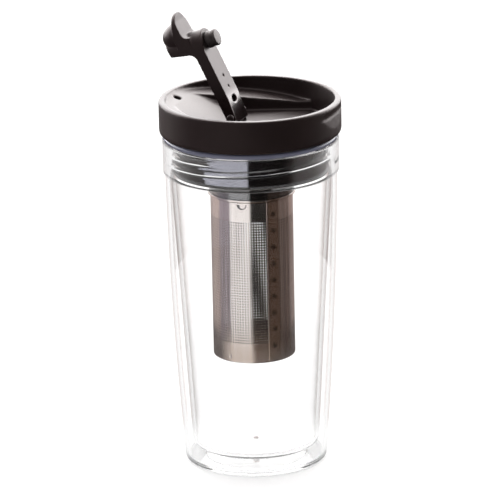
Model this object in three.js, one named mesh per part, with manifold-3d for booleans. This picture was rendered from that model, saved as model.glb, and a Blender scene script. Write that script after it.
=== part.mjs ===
// Tea infuser flask: a clear double-wall cup, a black screw lid with a flip lever over its drink hole,
// and a steel infuser that twists onto a spigot under the lid.
// Millimetres, +Z up. The origin is the centre of the base, and +X is the side one drinks from.
import * as THREE from "three";
import { mergeVertices } from "three/addons/utils/BufferGeometryUtils.js";
import Module from "manifold-3d";

const wasm = await Module();
wasm.setup();

// Gaps between pieces
const weldGap = 0.1; // between faces that are welded or rest on each other
const slideGap = 0.3; // between pieces that move past each other
const threadGap = 0.4; // around the lid's thread
const overcut = 1; // how far a cut runs past the face it opens

// Cup: outer wall
const wallHeight = 141;
const wallBaseRadius = 33.3;
const wallTopRadius = 40.2;
const wallBulge = 1.25; // how far the side swells beyond a straight cone
const wallThickness = 2;
const baseThickness = 2.5;
const baseCorner = 3;
const footRecess = 0.8; // hollow under the base, inside the ring it stands on
const footWidth = 8; // of that ring

// Cup: inner liner
const linerThickness = 2;
const linerBaseSpace = 1.4; // air between the walls, at the foot
const linerTopSpace = 0.5; // air between the walls, at the collar
const linerFloorSpace = 4.5; // air under the liner's floor
const linerCorner = 5;

// Cup: collar that the lid screws into
const collarHeight = 15.6;
const collarWall = 3.9;
const collarChamfer = 0.6;

// Lid thread: a right-hand thread of several starts
const threadDepth = 1.3;
const threadLead = 9;
const threadStarts = 2;
const threadTurn = 270; // degrees that each ridge runs round
const threadBaseWidth = 2;
const threadCrestWidth = 1;
const threadRise = 2.5; // lowest ridge centre above the neck's lower edge
const threadFade = 20; // degrees over which a ridge runs out
const threadSink = 0.6; // foot of a ridge inside its wall

// Lid: gasket, cap and neck
const gasketThickness = 2.4;
const gasketInset = 0.3; // gasket edge inside the collar's side
const lidHeight = 16;
const lidOverhang = 1.3; // lid side beyond the collar's side
const lidEdge = 0.9; // rounding of the lid's upper edge
const lidLowerEdge = 2; // rounding of its lower edge
const rimThickness = 3;
const lidFloor = 2.5;
const lidShell = 2.2;
const platformDepth = 9.2; // front of the side platforms below the rim
const platformLength = 52; // from the back of the rim to where the platforms level out
const valleyHalfWidth = 34.8; // half width of the fan-shaped valley at the rim
const valleyLength = 58; // along X, from the back of the rim to that width
const rampLength = 25.5; // the valley floor's slope, along X
const rampDepth = 1.2; // its upper end below the rim
const rampSetback = 2; // its upper end in front of the rim's inner face
const neckSetback = 0.1; // neck inside the liner's mouth
const neckWall = 2.5;
const neckFloor = 2.5;
const neckClearance = 0.5; // between the neck's lower edge and the liner's lip
const ventWidth = 2.6;
const ventLength = 3.2;
const ventSetback = 2.6; // from the rim's inner face
const ventLean = 20; // degrees that the vent leans inwards
const scoopDepth = 2;
const scoopHeight = 6.4;
const scoopReach = 20; // half the chord of the finger scoop
const scoopDrop = 2; // upper edge of the scoop below the rim
const slotCount = 4;
const slotAngle = 58; // degrees of each flow slot in the neck's floor
const slotMargin = 2; // between a slot and the neck's wall or boss

// Lid: drink hole and hinge
const drinkReach = 37; // from the hinge to the drink hole
const seatHeight = 2.5;
const seatWall = 2.5;
const hingeX = -6.7;
const hingeDepth = 8; // hinge axis below the rim
const pinRadius = 1.5;
const pinHeadroom = 1; // pin end beyond each ear
const earThickness = 2.5;
const earRadius = 3.4;
const earFoot = 9; // length of an ear where it meets the floor

// Lever, drawn closed with the hinge at the origin
const leverWidth = 15;
const leverSideGap = 0.4;
const leverOpenAngle = 112; // degrees from closed to the open stop
const armThickness = 5.5;
const armRise = 4.7; // degrees that the closed arm climbs
const barrelRadius = 4;
const headBack = 3.2; // head inner face behind the stopper axis
const headFront = 6; // head outer face ahead of the stopper axis
const headBottom = -0.4;
const headTopBack = 17;
const headTopFront = 19.2;
const headFillet = 4;
const crownReach = 7; // rounded front of the head, ahead of its outer face
const crownHeight = 9.3;
const tabReach = 11; // tab tip ahead of the head's outer face
const tabThickness = 2.4;
const tabTipThickness = 1.4;
const tabRoot = 1; // how much thicker it is at the head
const tabDroop = 3; // tip of the tab below its root
const tabRimGap = 0.8; // tab above the rim when the lever is shut
const tabFillet = 2.5;
const tabCorner = 6;
const armHoleRadius = 1.6;
const armHoleDepth = 3;
const armHoleReach = 8.3; // from the hinge

// Stopper: a silicone plug with a stem that holds it in the lever
const stopperRadius = 4;
const stopperLength = 5;
const stopperChamfer = 0.7;
const stopperFit = 0.5; // around the stopper, in the drink hole
const stemRadius = 1.5;
const stemLength = 6;

// Infuser and the spigot that carries it
const basketRadius = 19.3;
const basketLength = 79.2;
const sheet = 0.6;
const rimFlange = 1.2;
const rimHeight = 1.3;
const bossHeight = 9.3;
const spigotLength = 10;
const spigotWall = 3;
const seamWidth = 6.1;
const seamProud = 0.4;
const seamAzimuth = -41;
const dimpleCount = 2;
const dimpleRadius = 2.4;
const dimpleDepth = 1.1;
const dimpleDrop = 2.5; // flat edge of a dimple below the basket's rim
const dimpleAzimuth = -84;
const unlockAngle = 40; // degrees from locked to the way out
const floorSkirt = 6;

// Smoothness
const roundSteps = 48;
const wallSteps = 5;
const arcSteps = 4;
const threadStepAngle = 10;
const weldTolerance = 1e-4;

// Heights and radii that follow
const linerTopRadius = wallTopRadius - wallThickness - linerTopSpace;
const linerBaseRadius = wallBaseRadius - wallThickness - linerBaseSpace;
const linerBottom = baseThickness + linerFloorSpace;
const neckRadius = linerTopRadius - linerThickness - neckSetback;
const neckBore = neckRadius - neckWall;
const neckBottom = wallHeight + neckClearance;
const neckThreadZ = neckBottom + threadRise;
const threadPitch = threadLead / threadStarts;
const collarBottom = wallHeight + weldGap;
const collarTop = collarBottom + collarHeight;
const collarBore = neckRadius + threadDepth + threadGap;
const collarRadius = collarBore + collarWall;
const gasketBottom = collarTop + weldGap;
const gasketTop = gasketBottom + gasketThickness;
const lidBottom = gasketTop + weldGap;
const lidTop = lidBottom + lidHeight;
const lidRadius = collarRadius + lidOverhang;
const rimRadius = lidRadius - rimThickness;
const lidFloorTop = lidBottom + lidFloor;
const hingeZ = lidTop - hingeDepth;
const drinkX = hingeX + drinkReach;
const drinkRadius = stopperRadius + stopperFit;
const basketTop = neckBottom - bossHeight - weldGap;
const basketBore = basketRadius - sheet;
const infuserBottom = basketTop - basketLength - sheet - weldGap;
const spigotRadius = basketBore - slideGap;
const spigotBottom = neckBottom - bossHeight - spigotLength;
const dimpleZ = basketTop - dimpleDrop;

const degrees = (angle) => THREE.MathUtils.degToRad(angle);

// A closed three.js geometry as a solid that can be joined and cut
function toSolid(geometry) {
  const bare = new THREE.BufferGeometry();
  bare.setAttribute("position", geometry.getAttribute("position"));
  bare.setIndex(geometry.index);
  const merged = mergeVertices(bare, weldTolerance);
  const corners = merged.index.array;
  const triangles = [];
  for (let i = 0; i < corners.length; i += 3) {
    const [a, b, c] = [corners[i], corners[i + 1], corners[i + 2]];
    if (a !== b && b !== c && c !== a) triangles.push(a, b, c);
  }
  const vertProperties = merged.getAttribute("position").array;
  const triVerts = new Uint32Array(triangles);
  return new wasm.Manifold(new wasm.Mesh({ numProp: 3, vertProperties, triVerts }));
}

// A finished solid as a named mesh
function toMesh(name, solid, material) {
  const { vertProperties, triVerts } = solid.getMesh();
  const geometry = new THREE.BufferGeometry();
  geometry.setAttribute("position", new THREE.BufferAttribute(vertProperties, 3));
  geometry.setIndex(new THREE.BufferAttribute(triVerts, 1));
  geometry.computeVertexNormals();
  const mesh = new THREE.Mesh(geometry, material);
  mesh.name = name;
  return mesh;
}

// Points of an arc in a profile, angles in degrees
function arc(centreX, centreY, radius, from, to, steps = arcSteps) {
  const points = [];
  for (let i = 0; i <= steps; i++) {
    const angle = degrees(from + ((to - from) * i) / steps);
    points.push([centreX + radius * Math.cos(angle), centreY + radius * Math.sin(angle)]);
  }
  return points;
}

// A solid turned about Z from a closed profile of [radius, height], listed anticlockwise
function revolve(profile) {
  const points = [...profile, profile[0]].map(([r, z]) => new THREE.Vector2(r, z));
  return toSolid(new THREE.LatheGeometry(points, roundSteps).rotateX(Math.PI / 2));
}

function outline(points) {
  return new THREE.Shape(points.map(([x, y]) => new THREE.Vector2(x, y)));
}

// A solid of an outline in XY, between two heights
function prismZ(points, bottom, top) {
  const geometry = new THREE.ExtrudeGeometry(outline(points), { depth: top - bottom, bevelEnabled: false });
  return toSolid(geometry.translate(0, 0, bottom));
}

// A solid of an outline in XZ, between two places along Y
function prismY(points, near, far) {
  const geometry = new THREE.ExtrudeGeometry(outline(points), { depth: far - near, bevelEnabled: false });
  return toSolid(geometry.rotateX(Math.PI / 2).translate(0, far, 0));
}

function cylinderZ(radius, bottom, top, x = 0, y = 0, steps = roundSteps) {
  const geometry = new THREE.CylinderGeometry(radius, radius, top - bottom, steps);
  return toSolid(geometry.rotateX(Math.PI / 2).translate(x, y, (bottom + top) / 2));
}

function cylinderY(radius, length, x, z, steps) {
  return toSolid(new THREE.CylinderGeometry(radius, radius, length, steps).translate(x, 0, z));
}

// A block that is a part of a ring, angles in degrees from +X
function ringSector(inner, outer, from, to, bottom, top) {
  const steps = Math.max(2, Math.round((to - from) / threadStepAngle));
  const points = [...arc(0, 0, outer, from, to, steps), ...arc(0, 0, inner, to, from, steps)];
  return prismZ(points, bottom, top);
}

// One helical ridge: its foot is sunk in the wall at root, and its crest stands off the wall
function helixRidge(root, crest, firstZ, startAngle) {
  const steps = Math.round(threadTurn / threadStepAngle);
  const positions = [];
  const indices = [];
  for (let i = 0; i <= steps; i++) {
    const turned = (threadTurn * i) / steps;
    const fade = Math.min(1, (turned + 1) / threadFade, (threadTurn - turned + 1) / threadFade);
    const angle = degrees(startAngle + turned);
    const z = firstZ + (threadLead * turned) / 360;
    const height = (crest - root) * fade;
    const section = [
      [root, -threadBaseWidth / 2],
      [root + height, -threadCrestWidth / 2],
      [root + height, threadCrestWidth / 2],
      [root, threadBaseWidth / 2],
    ];
    for (const [r, dz] of section) positions.push(r * Math.cos(angle), r * Math.sin(angle), z + dz);
  }
  const corners = 4;
  const outward = crest > root;
  const face = (a, b, c) => indices.push(...(outward ? [a, b, c] : [a, c, b]));
  for (let i = 0; i < steps; i++) {
    for (let j = 0; j < corners; j++) {
      const a = i * corners + j;
      const b = i * corners + ((j + 1) % corners);
      face(a, a + corners, b);
      face(b, a + corners, b + corners);
    }
  }
  const last = steps * corners;
  face(0, 1, 2);
  face(0, 2, 3);
  face(last, last + 2, last + 1);
  face(last, last + 3, last + 2);
  const geometry = new THREE.BufferGeometry();
  geometry.setAttribute("position", new THREE.Float32BufferAttribute(positions, 3));
  geometry.setIndex(indices);
  return toSolid(geometry);
}

// Adds every start of the thread to a wall
function addThread(wall, root, crest, firstZ) {
  let solid = wall;
  for (let start = 0; start < threadStarts; start++) {
    solid = solid.add(helixRidge(root, crest, firstZ, (360 * start) / threadStarts));
  }
  return solid;
}

// Cup

function wallRadiusAt(z) {
  const share = z / wallHeight;
  const cone = wallBaseRadius + (wallTopRadius - wallBaseRadius) * share;
  return cone + 4 * wallBulge * share * (1 - share);
}

function linerRadiusAt(z) {
  const share = (z - linerBottom) / (wallHeight - linerBottom);
  return linerBaseRadius + (linerTopRadius - linerBaseRadius) * share;
}

// Points up a side whose radius depends on height
function sideUp(radiusAt, from, to) {
  const points = [];
  for (let i = 1; i <= wallSteps; i++) {
    const z = from + ((to - from) * i) / wallSteps;
    points.push([radiusAt(z), z]);
  }
  return points;
}

// A cup turned from its outer side: a floor, a rounded corner and a wall
function cup(radiusAt, bottom, top, floor, wall, corner) {
  const cornerRadius = radiusAt(bottom + corner);
  const innerCorner = Math.max(corner - wall, wall / 2);
  const innerBottom = bottom + floor;
  const innerRadiusAt = (z) => radiusAt(z) - wall;
  const innerCornerRadius = innerRadiusAt(innerBottom + innerCorner);
  return revolve([
    [0, bottom],
    ...arc(cornerRadius - corner, bottom + corner, corner, -90, 0),
    ...sideUp(radiusAt, bottom + corner, top),
    [innerRadiusAt(top), top],
    ...sideUp(innerRadiusAt, innerBottom + innerCorner, top).reverse().slice(1),
    ...arc(innerCornerRadius - innerCorner, innerBottom + innerCorner, innerCorner, 0, -90),
    [0, innerBottom],
  ]);
}

function makeOuterWall() {
  const shell = cup(wallRadiusAt, 0, wallHeight, baseThickness, wallThickness, baseCorner);
  const recess = wallBaseRadius - baseCorner - footWidth;
  const hollow = revolve([
    [0, -overcut],
    [recess + footRecess, -overcut],
    [recess + footRecess, 0],
    [recess, footRecess],
    [0, footRecess],
  ]);
  return shell.subtract(hollow);
}

function makeLiner() {
  return cup(linerRadiusAt, linerBottom, wallHeight, linerThickness, linerThickness, linerCorner);
}

function makeCollar() {
  const ring = revolve([
    [collarBore, collarBottom],
    [collarRadius - collarChamfer, collarBottom],
    [collarRadius, collarBottom + collarChamfer],
    [collarRadius, collarTop - collarChamfer],
    [collarRadius - collarChamfer, collarTop],
    [collarBore, collarTop],
  ]);
  const crest = neckRadius + threadGap;
  return addThread(ring, collarBore + threadSink, crest, neckThreadZ + threadPitch / 2);
}

// Lid

function makeGasket() {
  const inner = neckRadius + slideGap;
  const outer = collarRadius - gasketInset;
  const bead = gasketThickness / 2;
  return revolve([
    [inner, gasketBottom],
    ...arc(outer - bead, gasketBottom + bead, bead, -90, 90),
    [inner, gasketTop],
  ]);
}

// Under side of the open space above the platforms: a sideways parabola from the back of the rim
function platformLine(lower) {
  const points = [];
  const steps = 2 * wallSteps;
  for (let i = 0; i <= steps; i++) {
    const share = i / steps;
    points.push([platformLength * share ** 2 - rimRadius, lidTop - platformDepth * share - lower]);
  }
  points.push([lidRadius, lidTop - platformDepth - lower]);
  return points;
}

// Floor of the valley: a ramp, then level
function valleyLine(lower) {
  const rampX = rampSetback - rimRadius;
  return [
    [-lidRadius, lidTop - lower],
    [rampX, lidTop - rampDepth - lower],
    [rampX + rampLength, lidFloorTop - lower],
    [lidRadius, lidFloorTop - lower],
  ];
}

// The valley's plan, grown on both sides
function fanPrism(grow) {
  const points = [];
  const steps = 2 * wallSteps;
  for (let i = -steps; i <= steps; i++) {
    const share = i / steps;
    const side = Math.sign(share) * grow;
    points.push([valleyLength * share ** 2 - rimRadius - grow, valleyHalfWidth * share + side]);
  }
  points.push([lidRadius, valleyHalfWidth + grow], [lidRadius, -valleyHalfWidth - grow]);
  return prismZ(points, lidBottom - overcut, lidTop + overcut);
}

function openAbove(line) {
  const top = lidTop + overcut;
  return prismY([...line, [lidRadius, top], [line[0][0], top]], -lidRadius, lidRadius);
}

function hollowBelow(line) {
  const floor = lidBottom - overcut;
  const kept = line.map(([x, z]) => [x, Math.max(z, floor + overcut / 2)]);
  return prismY([[kept[0][0], floor], [lidRadius, floor], ...kept.reverse()], -lidRadius, lidRadius);
}

// Finger scoop: a groove round a circle that is larger than the lid, so it runs out at both ends
function scoopCutter() {
  const lidSag = lidRadius - Math.sqrt(lidRadius ** 2 - scoopReach ** 2);
  const sag = lidSag - scoopDepth;
  const radius = (scoopReach ** 2 + sag ** 2) / (2 * sag);
  const centreX = lidRadius - scoopDepth - radius;
  const middle = lidTop - scoopDrop - scoopHeight / 2;
  const half = scoopHeight / 2;
  const outside = radius + half + scoopDepth;
  const profile = [
    ...arc(radius + half, middle, half, 270, 90, 2 * arcSteps),
    [outside, middle + half],
    [outside, middle - half],
  ].reverse();
  const points = [...profile, profile[0]].map(([r, z]) => new THREE.Vector2(r, z));
  const ring = new THREE.LatheGeometry(points, 3 * roundSteps);
  return toSolid(ring.rotateX(Math.PI / 2).translate(centreX, 0, 0));
}

function ventCutter() {
  const slot = new THREE.CylinderGeometry(ventWidth / 2, ventWidth / 2, lidHeight * 2, roundSteps / 3);
  slot.rotateX(Math.PI / 2).scale(1, ventLength / ventWidth, 1);
  slot.rotateY(-degrees(ventLean)).translate(ventSetback - rimRadius, 0, lidTop - rampDepth);
  return toSolid(slot);
}

// One of the two ears that hold the hinge pin
function makeEar(near) {
  const floor = lidFloorTop - lidFloor / 2;
  const profile = [
    [hingeX - earFoot / 2, floor],
    [hingeX + earFoot / 2, floor],
    ...arc(hingeX, hingeZ, earRadius, 0, 180, 2 * arcSteps),
  ];
  return prismY(profile, near, near + earThickness);
}

function makeCap() {
  const block = revolve([
    [0, lidBottom],
    ...arc(lidRadius - lidLowerEdge, lidBottom + lidLowerEdge, lidLowerEdge, -90, 0),
    ...arc(lidRadius - lidEdge, lidTop - lidEdge, lidEdge, 0, 90),
    [0, lidTop],
  ]);
  const well = cylinderZ(rimRadius, lidBottom - overcut, lidTop + overcut);
  const chamber = cylinderZ(neckBore, lidBottom - overcut, lidTop);
  const dish = openAbove(platformLine(0)).intersect(well);
  const valley = openAbove(valleyLine(0)).intersect(well).intersect(fanPrism(0));
  const underPlatforms = hollowBelow(platformLine(lidShell)).intersect(chamber).subtract(fanPrism(lidShell));
  const underRamp = hollowBelow(valleyLine(lidShell)).intersect(chamber);
  let cap = block.subtract(dish).subtract(valley).subtract(underPlatforms).subtract(underRamp);
  const earNear = leverWidth / 2 + leverSideGap;
  cap = cap.add(makeEar(earNear)).add(makeEar(-earNear - earThickness));
  const holeSteps = roundSteps / 2;
  const seatRadius = drinkRadius + seatWall;
  const seatTop = lidFloorTop + seatHeight;
  cap = cap.add(cylinderZ(seatRadius, lidFloorTop - lidFloor / 2, seatTop, drinkX, 0, holeSteps));
  const drinkHole = cylinderZ(drinkRadius, lidBottom - overcut, seatTop + overcut, drinkX, 0, holeSteps);
  cap = cap.subtract(drinkHole);
  const pinBore = cylinderY(pinRadius + slideGap, 2 * lidRadius, hingeX, hingeZ, holeSteps);
  const earSpan = cylinderY(earRadius, 2 * (earNear + earThickness), hingeX, hingeZ, holeSteps);
  cap = cap.subtract(pinBore.intersect(earSpan));
  return cap.subtract(ventCutter()).subtract(scoopCutter());
}

// Neck: a threaded tube with a slotted floor, and a boss and spigot under it for the infuser
function makeNeck() {
  const floorTop = neckBottom + neckFloor;
  const top = lidBottom - weldGap;
  const bossRadius = basketRadius + rimFlange / 2;
  const bossBottom = neckBottom - bossHeight;
  const bore = spigotRadius - spigotWall;
  let neck = revolve([
    [0, neckBottom],
    [bore, neckBottom],
    [bore, spigotBottom],
    [spigotRadius, spigotBottom],
    [spigotRadius, bossBottom],
    [bossRadius, bossBottom],
    [bossRadius, neckBottom],
    [neckRadius, neckBottom],
    [neckRadius, top],
    [neckBore, top],
    [neckBore, floorTop],
    [0, floorTop],
  ]);
  neck = addThread(neck, neckRadius - threadSink, neckRadius + threadDepth, neckThreadZ);
  for (let slot = 0; slot < slotCount; slot++) {
    const middle = (360 * (slot + 0.5)) / slotCount;
    const from = middle - slotAngle / 2;
    const to = middle + slotAngle / 2;
    const inner = bossRadius + slotMargin;
    const outer = neckBore - slotMargin;
    neck = neck.subtract(ringSector(inner, outer, from, to, neckBottom - overcut, floorTop + overcut));
  }
  return cutTwistGrooves(neck);
}

// Grooves in the spigot: each dimple comes up an entry, then turns along a level run and is locked
function cutTwistGrooves(neck) {
  const deepest = spigotRadius - dimpleDepth;
  const outside = spigotRadius + overcut;
  const half = THREE.MathUtils.radToDeg((dimpleRadius + slideGap) / deepest);
  const low = dimpleZ - dimpleRadius - slideGap;
  const high = dimpleZ + slideGap;
  let cut = neck;
  for (let i = 0; i < dimpleCount; i++) {
    const locked = dimpleAzimuth + (360 * i) / dimpleCount;
    const free = locked + unlockAngle;
    cut = cut.subtract(ringSector(deepest, outside, locked - half, free + half, low, high));
    cut = cut.subtract(ringSector(deepest, outside, free - half, free + half, spigotBottom - overcut, high));
  }
  return cut;
}

function makePin() {
  const length = leverWidth + 2 * (leverSideGap + earThickness + pinHeadroom);
  return cylinderY(pinRadius, length, hingeX, hingeZ, roundSteps / 2);
}

// Lever and stopper, drawn closed with the hinge at the origin

function leverProfile() {
  const inner = drinkReach - headBack;
  const outer = drinkReach + headFront;
  const slope = Math.tan(degrees(armRise));
  const half = armThickness / 2 / Math.cos(degrees(armRise));
  const tabUnder = hingeDepth + tabRimGap;
  const tip = outer + tabReach;
  const fillet = headFillet;
  const filletZ = (inner - fillet) * slope + half + fillet;
  return [
    ...arc(0, 0, barrelRadius, 60, 300, 3 * arcSteps),
    [barrelRadius, barrelRadius * slope - half],
    [inner, inner * slope - half],
    [inner + headBack / 2, headBottom],
    [outer, headBottom],
    ...arc(outer + tabFillet, tabUnder - tabFillet, tabFillet, 180, 90),
    [tip - tabReach / 3, tabUnder],
    [tip, tabUnder - tabDroop],
    [tip, tabUnder - tabDroop + tabTipThickness],
    [outer + tabReach / 2, tabUnder + tabThickness],
    [outer, tabUnder + tabThickness + tabRoot],
    [outer, headTopFront],
    [inner + headBack / 2, headTopBack],
    ...arc(inner - fillet, filletZ, fillet, 0, -90),
    [barrelRadius, barrelRadius * slope + half],
  ];
}

// Plan of the lever: square at the hinge, rounded at the tab's tip
function leverPlan() {
  const half = leverWidth / 2;
  const tip = drinkReach + headFront + tabReach;
  const back = -2 * barrelRadius;
  return [
    [back, -half],
    [tip - tabCorner, -half],
    ...arc(tip - tabCorner, tabCorner - half, tabCorner, -90, 0),
    ...arc(tip - tabCorner, half - tabCorner, tabCorner, 0, 90),
    [back, half],
  ];
}

function makeLever() {
  const tall = 2 * headTopFront;
  const plan = prismZ(leverPlan(), -tall, tall);
  let lever = prismY(leverProfile(), -leverWidth, leverWidth).intersect(plan);
  const crownZ = hingeDepth + tabRimGap + tabThickness;
  const crown = new THREE.SphereGeometry(1, roundSteps / 2, roundSteps / 3);
  crown.rotateX(Math.PI / 2).scale(crownReach, leverWidth / 2, crownHeight);
  const outer = drinkReach + headFront;
  const back = outer - overcut;
  const front = outer + tall;
  const above = prismY([[back, crownZ], [front, crownZ], [front, tall], [back, tall]], -tall, tall);
  lever = lever.add(toSolid(crown.translate(outer, 0, crownZ)).intersect(above));
  const holeSteps = roundSteps / 3;
  lever = lever.subtract(cylinderY(pinRadius + slideGap, 2 * leverWidth, 0, 0, holeSteps));
  const stemHole = stemRadius + slideGap;
  const stemEnd = stemTop() + slideGap;
  lever = lever.subtract(cylinderZ(stemHole, headBottom - overcut, stemEnd, drinkReach, 0, holeSteps));
  const armUnder = armHoleReach * Math.tan(degrees(armRise)) - armThickness / 2;
  const holeEnd = armUnder + armHoleDepth;
  const hole = cylinderZ(armHoleRadius, armUnder - overcut, holeEnd, armHoleReach, 0, holeSteps);
  return lever.subtract(hole);
}

function stemTop() {
  return headBottom + stemLength;
}

function makeStopper() {
  const top = headBottom - slideGap;
  const bottom = top - stopperLength;
  const plug = revolve([
    [0, bottom],
    [stopperRadius - stopperChamfer, bottom],
    [stopperRadius, bottom + stopperChamfer],
    [stopperRadius, top],
    [stemRadius, top],
    [stemRadius, stemTop()],
    [0, stemTop()],
  ]);
  return plug.translate([drinkReach, 0, 0]);
}

// Infuser

function makeBasket() {
  const bottom = infuserBottom + sheet + weldGap;
  const flange = basketRadius + rimFlange;
  let basket = revolve([
    [basketBore, bottom],
    [basketRadius, bottom],
    [basketRadius, basketTop - rimHeight],
    [flange, basketTop - rimHeight],
    [flange, basketTop],
    [basketBore, basketTop],
  ]);
  const half = THREE.MathUtils.radToDeg(seamWidth / 2 / basketRadius);
  const from = seamAzimuth - half;
  const to = seamAzimuth + half;
  const seamFoot = basketRadius - sheet / 2;
  const seamTop = basketTop - rimHeight / 2;
  basket = basket.add(ringSector(seamFoot, basketRadius + seamProud, from, to, bottom, seamTop));
  for (let i = 0; i < dimpleCount; i++) {
    const azimuth = dimpleAzimuth + (360 * i) / dimpleCount;
    const bumpTip = spigotRadius - dimpleDepth + slideGap;
    basket = basket.add(halfMoon(dimpleRadius, bumpTip, basketRadius - sheet / 3, azimuth));
    const hollow = halfMoon(dimpleRadius - sheet, bumpTip + sheet, basketRadius + overcut, azimuth);
    basket = basket.subtract(hollow);
  }
  return basket;
}

// Half of a round peg that points at the axis, with its flat edge on top
function halfMoon(radius, from, to, azimuth) {
  const peg = new THREE.CylinderGeometry(radius, radius, to - from, roundSteps / 3);
  const moon = toSolid(peg.rotateZ(Math.PI / 2).translate((from + to) / 2, 0, 0));
  const wide = 2 * basketRadius;
  const lower = prismY([[0, -wide], [wide, -wide], [wide, 0], [0, 0]], -wide, wide);
  return moon.intersect(lower).rotate([0, 0, azimuth]).translate([0, 0, dimpleZ]);
}

function makeInfuserFloor() {
  const skirt = basketBore - weldGap;
  return revolve([
    [0, infuserBottom],
    [basketRadius, infuserBottom],
    [basketRadius, infuserBottom + sheet],
    [skirt, infuserBottom + sheet],
    [skirt, infuserBottom + floorSkirt],
    [skirt - sheet, infuserBottom + floorSkirt],
    [skirt - sheet, infuserBottom + sheet],
    [0, infuserBottom + sheet],
  ]);
}

// Materials

const clearPlastic = new THREE.MeshStandardMaterial({
  color: 0xf4f1f0,
  roughness: 0.08,
  metalness: 0,
  transparent: true,
  opacity: 0.3,
});
const blackPlastic = new THREE.MeshStandardMaterial({ color: 0x241f1f, roughness: 0.5, metalness: 0 });
const paleSilicone = new THREE.MeshStandardMaterial({ color: 0x5c5d6c, roughness: 0.45, metalness: 0 });
const darkSilicone = new THREE.MeshStandardMaterial({ color: 0x2b2727, roughness: 0.7, metalness: 0 });
const steel = new THREE.MeshStandardMaterial({ color: 0x9a8f8a, roughness: 0.28, metalness: 1 });

const flask = new THREE.Group();
flask.add(toMesh("outer_wall", makeOuterWall(), clearPlastic));
flask.add(toMesh("inner_liner", makeLiner(), clearPlastic));
flask.add(toMesh("neck_collar", makeCollar(), clearPlastic));
flask.add(toMesh("lid_gasket", makeGasket(), paleSilicone));

const lid = new THREE.Group();
lid.add(toMesh("lid_cap", makeCap(), blackPlastic));
lid.add(toMesh("lid_neck", makeNeck(), blackPlastic));
lid.add(toMesh("hinge_pin", makePin(), steel));
flask.add(lid);

const flip = new THREE.Group();
flip.position.set(hingeX, 0, hingeZ);
flip.rotation.y = -degrees(leverOpenAngle);
flip.add(toMesh("lever", makeLever(), blackPlastic));
flip.add(toMesh("stopper", makeStopper(), darkSilicone));
lid.add(flip);

const infuser = new THREE.Group();
infuser.add(toMesh("infuser_basket", makeBasket(), steel));
infuser.add(toMesh("infuser_floor", makeInfuserFloor(), steel));
lid.add(infuser);

export default flask;
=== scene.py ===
# Tea infuser flask: a clear double-wall cup, a black screw lid with an open lever, and a steel infuser
import math
import bpy
from mathutils import Matrix, Quaternion, Vector


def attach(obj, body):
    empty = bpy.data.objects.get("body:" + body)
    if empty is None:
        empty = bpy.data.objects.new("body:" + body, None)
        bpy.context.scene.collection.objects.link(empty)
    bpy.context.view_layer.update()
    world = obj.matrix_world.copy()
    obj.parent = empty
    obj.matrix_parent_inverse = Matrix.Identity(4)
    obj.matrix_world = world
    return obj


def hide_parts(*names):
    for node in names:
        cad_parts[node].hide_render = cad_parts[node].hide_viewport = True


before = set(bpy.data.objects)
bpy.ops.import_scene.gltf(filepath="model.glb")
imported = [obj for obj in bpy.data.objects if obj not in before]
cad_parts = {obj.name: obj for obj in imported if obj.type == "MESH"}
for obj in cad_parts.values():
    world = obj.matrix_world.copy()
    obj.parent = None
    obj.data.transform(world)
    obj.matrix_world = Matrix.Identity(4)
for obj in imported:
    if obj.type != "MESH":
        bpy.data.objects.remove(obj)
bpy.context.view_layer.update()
mm = 0.001

# Camera

photoView = dict(
    azimuth=20,  # degrees round from the front
    reach=2.025,  # metres out from the flask's axis
    height=0.729,
    aimHeight=0.1,
    lens=325.4,
    roll=-1.086,  # degrees: the photo leans a little
    shiftX=-0.0054,  # the aim point sits just off the middle of the photo
    shiftY=0.0058,
)


def placeCamera():
    turn = math.radians(photoView["azimuth"])
    reach = photoView["reach"]
    place = Vector((reach * math.sin(turn), -reach * math.cos(turn), photoView["height"]))
    aim = Vector((0, 0, photoView["aimHeight"]))
    bpy.ops.object.select_all(action="DESELECT")
    bpy.ops.object.camera_add(location=place)
    camera = bpy.context.object
    camera.rotation_mode = "QUATERNION"
    roll = Quaternion((0, 0, 1), math.radians(photoView["roll"]))
    camera.rotation_quaternion = (aim - place).to_track_quat("-Z", "Y") @ roll
    camera.data.lens = photoView["lens"]
    camera.data.shift_x = photoView["shiftX"]
    camera.data.shift_y = photoView["shiftY"]
    bpy.context.scene.camera = camera


placeCamera()
print("camera placed")

# Modelling moves

mergeGap = 1e-6  # metres


def pick(piece):
    bpy.ops.object.select_all(action="DESELECT")
    piece.select_set(True)
    bpy.context.view_layer.objects.active = piece


def editAll(piece):
    pick(piece)
    bpy.ops.object.mode_set(mode="EDIT")
    bpy.ops.mesh.select_all(action="SELECT")


def tidyMesh(piece):  # ends edit mode with one closed skin that faces out
    bpy.ops.mesh.select_all(action="SELECT")
    bpy.ops.mesh.remove_doubles(threshold=mergeGap)
    bpy.ops.mesh.delete_loose()
    bpy.ops.mesh.select_all(action="SELECT")
    bpy.ops.mesh.normals_make_consistent(inside=False)
    bpy.ops.object.mode_set(mode="OBJECT")
    return piece


def smooth(piece, angle=35):
    pick(piece)
    bpy.ops.object.shade_smooth_by_angle(angle=math.radians(angle))
    return piece


def drawLine(name, points, close):  # one vertex is extruded from point to point, in millimetres
    bpy.ops.object.select_all(action="DESELECT")
    bpy.ops.mesh.primitive_plane_add(size=mm)
    piece = bpy.context.object
    piece.name = name
    piece.data.name = name
    bpy.ops.object.mode_set(mode="EDIT")
    bpy.ops.mesh.merge(type="CENTER")
    pen = Vector()
    for count, point in enumerate([*points, points[0]] if close else points):
        step = Vector(point) * mm - pen
        if count:
            bpy.ops.mesh.extrude_region_move(TRANSFORM_OT_translate={"value": step})
        else:
            bpy.ops.transform.translate(value=step)
        pen += step
    bpy.ops.mesh.select_all(action="SELECT")
    bpy.ops.mesh.remove_doubles(threshold=mergeGap)
    return piece


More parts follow.
